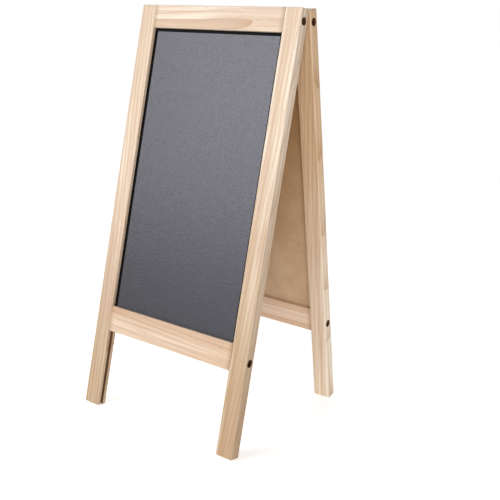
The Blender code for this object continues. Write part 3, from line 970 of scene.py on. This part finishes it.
def build_wood(frame_name, matrix, turned_round):
    """Legs and rails, with the grooves that hold the board and the holes for the screws."""
    groove = groove_of(frame_name, matrix)
    screws, holes = screws_and_holes(frame_name, matrix, turned_round)
    rails = [own_box(f"{frame_name}_{rail}_rail", matrix) for rail in RAILS]
    legs = [own_box(f"{frame_name}_{side}_leg", matrix) for side in SIDES]
    seed = SEEDS[frame_name]
    for side, sign in sides_of(turned_round):
        node = f"{frame_name}_{side}_leg"
        shape = ("Z", -sign, groove, EASED_RADIUS)
        build_member(node, own_box(node, matrix), matrix, shape, [holes[rail, side] for rail in RAILS],
                     [screws[rail, side] for rail in RAILS], rails, seed, LEG_PAINTED_LIGHT[f"{frame_name}_{side}"])
        seed += 1
    for rail, groove_side in RAILS.items():
        node = f"{frame_name}_{rail}_rail"
        low, high = own_box(node, matrix)
        reach = Vector((HOLE_CLEARANCE - RAIL_END_GAP, 0, 0))
        shape = ("X", groove_side, groove, RAIL_END_EASE)
        cutters = [holes[rail, side] for side in SIDES]
        if rail == "top":
            cutters += hinge_cutters(frame_name, matrix)
        build_member(node, (low - reach, high + reach), matrix, shape, cutters, [], legs, seed,
                     RAIL_PAINTED_LIGHT[frame_name])
        seed += 1


def hinge_cutters(frame_name, matrix):
    """The seats and pilot holes that the hinges need in a top rail."""
    seats = [seat_cutter(hinge, frame_name, matrix) for hinge in SIDES]
    return seats + [pilot_cutter(*own_box(name, matrix)) for name in hinge_screw_nodes(frame_name)]


def seat_cutter(hinge, frame_name, matrix):
    """The shallow seat that a leaf lies in, flush with the top rail, with room for the barrel and pin."""
    leaf_low = own_box(f"{hinge}_hinge_{frame_name}_leaf", matrix)[0]
    pin_low, pin_high = own_box(f"{hinge}_hinge_pin", matrix)
    y, z = leaf_low.y - HOLE_CLEARANCE, leaf_low.z - HOLE_CLEARANCE
    outline = [(y, z), (CUT_PAST, z), (CUT_PAST, CUT_PAST), (y, CUT_PAST)]
    ends = (pin_low.x - HOLE_CLEARANCE, pin_high.x + HOLE_CLEARANCE)
    return prism("seat", outline, *ends, "X"), Matrix()


def hinge_screw_nodes(frame_name, hinges=("left", "right")):
    return [f"{hinge}_hinge_{frame_name}_{side}_screw" for hinge in hinges for side in SIDES]


def opening_of(frame_name, matrix):
    """The lowest and highest corner of the opening that the lips leave in front of the board."""
    top_low, top_high = own_box(f"{frame_name}_top_rail", matrix)
    bottom_high = own_box(f"{frame_name}_bottom_rail", matrix)[1]
    return Vector((top_low.x, 0, bottom_high.z)), Vector((top_high.x, 0, top_low.z))


def unshadowed_area(frame_name, matrix):
    """The face outside the lips' painted shadow: the opening up to a margin at its sides and top, and on
    past its bottom lip.
    """
    low, high = opening_of(frame_name, matrix)
    return (low.x + LIP_SHADOW_WIDTH, low.z - LIP_SHADOW_WIDTH), (high.x - LIP_SHADOW_WIDTH, high.z - LIP_SHADOW_WIDTH)


def board_rings(low, high, unshadowed):
    """Points round the board from its back, over the rounded edge, to the edge of the lips' painted shadow
    on its face.
    """
    outline = rounded_outline((low.x, low.z), (high.x, high.z), BOARD_CORNER_RADIUS, BOARD_EDGE_STEPS)
    middle, half = (low + high) / 2, (high - low) / 2
    for i in range(2 * BOARD_EDGE_STEPS + 2):
        front = i > BOARD_EDGE_STEPS
        turn = math.pi / 2 * (i - BOARD_EDGE_STEPS - 1 if front else i) / BOARD_EDGE_STEPS
        inset, in_y = 1 - math.sin(turn), 1 - math.cos(turn)
        if front:
            inset, in_y = in_y, inset
        y = low.y + in_y * BOARD_EDGE_RADIUS if front else high.y - in_y * BOARD_EDGE_RADIUS
        inset *= BOARD_EDGE_RADIUS
        yield [(middle.x + (x - middle.x) * (1 - inset / half.x), y,
                middle.z + (z - middle.z) * (1 - inset / half.z)) for x, z in outline]
    (left, bottom), (right, top) = unshadowed
    yield [(left + (x - low.x) / (2 * half.x) * (right - left), low.y,
            bottom + (z - low.z) / (2 * half.z) * (top - bottom)) for x, z in outline]


def build_board(frame_name, matrix, materials):
    """The board. materials are those of its back and edges, of its face and of its face's margin, where the
    lips' shadow is painted.
    """
    node = f"{frame_name}_board"
    low, high = own_box(node, matrix)
    unshadowed = unshadowed_area(frame_name, matrix)

    def build(bm):
        rings = [[bm.verts.new(place) for place in ring] for ring in board_rings(low, high, unshadowed)]
        bridge(bm, rings)
        bm.faces.new(rings[0])
        bm.faces.new(rings[-1])
    board = finished(new_object(f"{node}_panel", new_mesh(f"{node}_panel", build), matrix))
    give(board, node, materials)
    (left, bottom), (right, top) = unshadowed
    for face in board.data.polygons:
        inside = left < face.center.x < right and bottom < face.center.z < top
        painted = face.normal.y < PAINTED_NORMAL
        # Painted faces in the band along the lips take the black paint of the lips' shadow
        face.material_index = (1 if inside else 2) if painted else 0


def build_frame_screws(frame_name, matrix, turned_round, steel):
    mesh = None
    for rail in RAILS:
        for side, sign in sides_of(turned_round):
            node = f"{frame_name}_{rail}_{side}_screw"
            low, high = own_box(node, matrix)
            mesh = mesh or frame_screw(high.x - low.x)
            top = high.x if sign > 0 else low.x
            place = Matrix.Translation((top, (low.y + high.y) / 2, (low.z + high.z) / 2))
            turn = Matrix.Rotation(math.pi if sign > 0 else 0, 4, "Z")
            spin = Matrix.Rotation(SCREW_SPIN * (top + low.z) / MM, 4, "X")
            piece = new_object(f"{node}_threaded", mesh.copy(), matrix @ place @ turn @ spin)
            give(piece, node, steel)


def build_hinges(frame_name, matrix, turned_round, brass):
    """The frame's two leaves and their screws; the pins ride with the front frame."""
    mesh = None
    for hinge in SIDES:
        node = f"{hinge}_hinge_{frame_name}_leaf"
        boxes = {name: own_box(name, matrix) for name in hinge_screw_nodes(frame_name, [hinge])}
        piece = leaf(f"{node}_rolled", *own_box(node, matrix), int(turned_round), boxes.values(), matrix)
        give(piece, node, brass)
        for name, (low, high) in boxes.items():
            mesh = mesh or hinge_screw(high.z - low.z)
            place = Matrix.Translation(((low.x + high.x) / 2, (low.y + high.y) / 2, high.z))
            down = Matrix.Rotation(math.pi / 2, 4, "Y")
            spin = Matrix.Rotation(SCREW_SPIN * low.x / MM, 4, "X")
            screw_piece = new_object(f"{name}_threaded", mesh.copy(), matrix @ place @ down @ spin)
            give(screw_piece, name, brass)


def build_pins(matrix, brass):
    for hinge in SIDES:
        node = f"{hinge}_hinge_pin"
        give(pin(f"{node}_riveted", *own_box(node, matrix), matrix), node, brass)


# Studio

def seen_by_camera(tree, hidden, seen):
    """One value where the camera looks at it, and another where it lights the easel."""
    return between(tree, add_node(tree, "LightPath").outputs["Is Camera Ray"], 0, 1, hidden, seen)


def floor_material():
    """White paper that fades into the backdrop away from the easel, with a glow that thins shadows."""
    mat, tree, shader = new_material("floor")
    shader.inputs["Base Color"].default_value = rgba(FLOOR_COLOUR)
    shader.inputs["Roughness"].default_value = FLOOR_ROUGHNESS
    shader.inputs["Specular IOR Level"].default_value = FLOOR_SPECULAR
    shader.inputs["Emission Color"].default_value = rgba(WHITE)
    tree.links.new(seen_by_camera(tree, FLOOR_BOUNCE, FLOOR_GLOW), shader.inputs["Emission Strength"])
    away = vector_maths(tree, "LENGTH", {0: own_place(tree)})["Value"]
    faded = between(tree, away, *FLOOR_FADE)
    clear = add_node(tree, "BsdfTransparent").outputs[0]
    mix = add_node(tree, "MixShader", {0: faded, 1: shader.outputs[0], 2: clear})
    tree.links.new(mix.outputs[0], tree.nodes["Material Output"].inputs["Surface"])
    return mat


def add_floor():
    """A plain pale floor whose far edge fades into the background."""
    def build(bm):
        middle = (0, 0)
        ring = arc(middle, FLOOR_RADIUS, 0, 2 * math.pi, FLOOR_SEGMENTS)[:-1]
        bm.faces.new([bm.verts.new((x, y, 0)) for x, y in ring])
    floor = new_object("floor", new_mesh("floor", build), Matrix())
    floor.data.materials.append(floor_material())
    floor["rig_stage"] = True


def add_light(name, azimuth, elevation, distance, size, power, colour):
    """A soft panel of light that faces the easel; azimuth 0 is its front and 90 its right."""
    light = bpy.data.lights.new(name, "AREA")
    light.shape = "RECTANGLE"
    light.size, light.size_y = size
    light.energy = power
    light.color = colour
    obj = bpy.data.objects.new(name, light)
    bpy.context.scene.collection.objects.link(obj)
    away = direction(math.radians(azimuth), math.radians(elevation))
    obj.location = middle_of_easel() + away * distance
    obj.rotation_euler = away.to_track_quat("Z", "Y").to_euler()
    obj.visible_camera = False


def add_world():
    """A white background that lights the easel only a little; the panels do the rest."""
    world = bpy.data.worlds.new("studio")
    bpy.context.scene.world = world
    world.use_nodes = True
    tree = world.node_tree
    strength = seen_by_camera(tree, AMBIENT, BACKDROP)
    tree.links.new(strength, tree.nodes["Background"].inputs["Strength"])
    tree.nodes["Background"].inputs["Color"].default_value = rgba(WHITE)


def direction(azimuth, elevation):
    """The way from the easel towards a place round it; azimuth 0 is its front and 90 its right."""
    return Vector((math.sin(azimuth) * math.cos(elevation), -math.cos(azimuth) * math.cos(elevation),
                   math.sin(elevation)))


def middle_of_easel():
    low, high = cad_box
    return (low + high) / 2


def add_camera():
    camera = bpy.data.cameras.new("camera")
    camera.lens = CAMERA_LENS
    camera.shift_y = CAMERA_SHIFT_Y
    obj = bpy.data.objects.new("camera", camera)
    bpy.context.scene.collection.objects.link(obj)
    bpy.context.scene.camera = obj
    place = middle_of_easel() + direction(CAMERA_AZIMUTH, CAMERA_ELEVATION) * CAMERA_DISTANCE
    aim = Matrix.Rotation(CAMERA_YAW, 4, "Z") @ Matrix.Rotation(math.pi / 2 + CAMERA_PITCH, 4, "X")
    # the roll lifts the camera's right side, so upright things lean to the right in the picture
    obj.matrix_world = Matrix.Translation(place) @ aim @ Matrix.Rotation(CAMERA_ROLL, 4, "Z")


def main():
    board_materials = (hardboard(), chalkboard_paint(), lip_shadow_paint())
    steel, brass = metal("black_steel", **STEEL), metal("brass", **BRASS)
    for frame_name, turned_round in (("front", False), ("rear", True)):
        matrix = frame_matrix(turned_round)
        build_wood(frame_name, matrix, turned_round)
        build_board(frame_name, matrix, board_materials)
        build_frame_screws(frame_name, matrix, turned_round, steel)
        build_hinges(frame_name, matrix, turned_round, brass)
    build_pins(frame_matrix(False), brass)
    add_floor()
    add_world()
    for name, panel in LIGHTS.items():
        add_light(name, **panel)
    add_camera()
    bpy.context.scene.view_settings.view_transform = "Standard"


main()
visual_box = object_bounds()
sizes = {"cad": cad_box, "visual": visual_box}
{name: [list(corner) for corner in box] for name, box in sizes.items()}
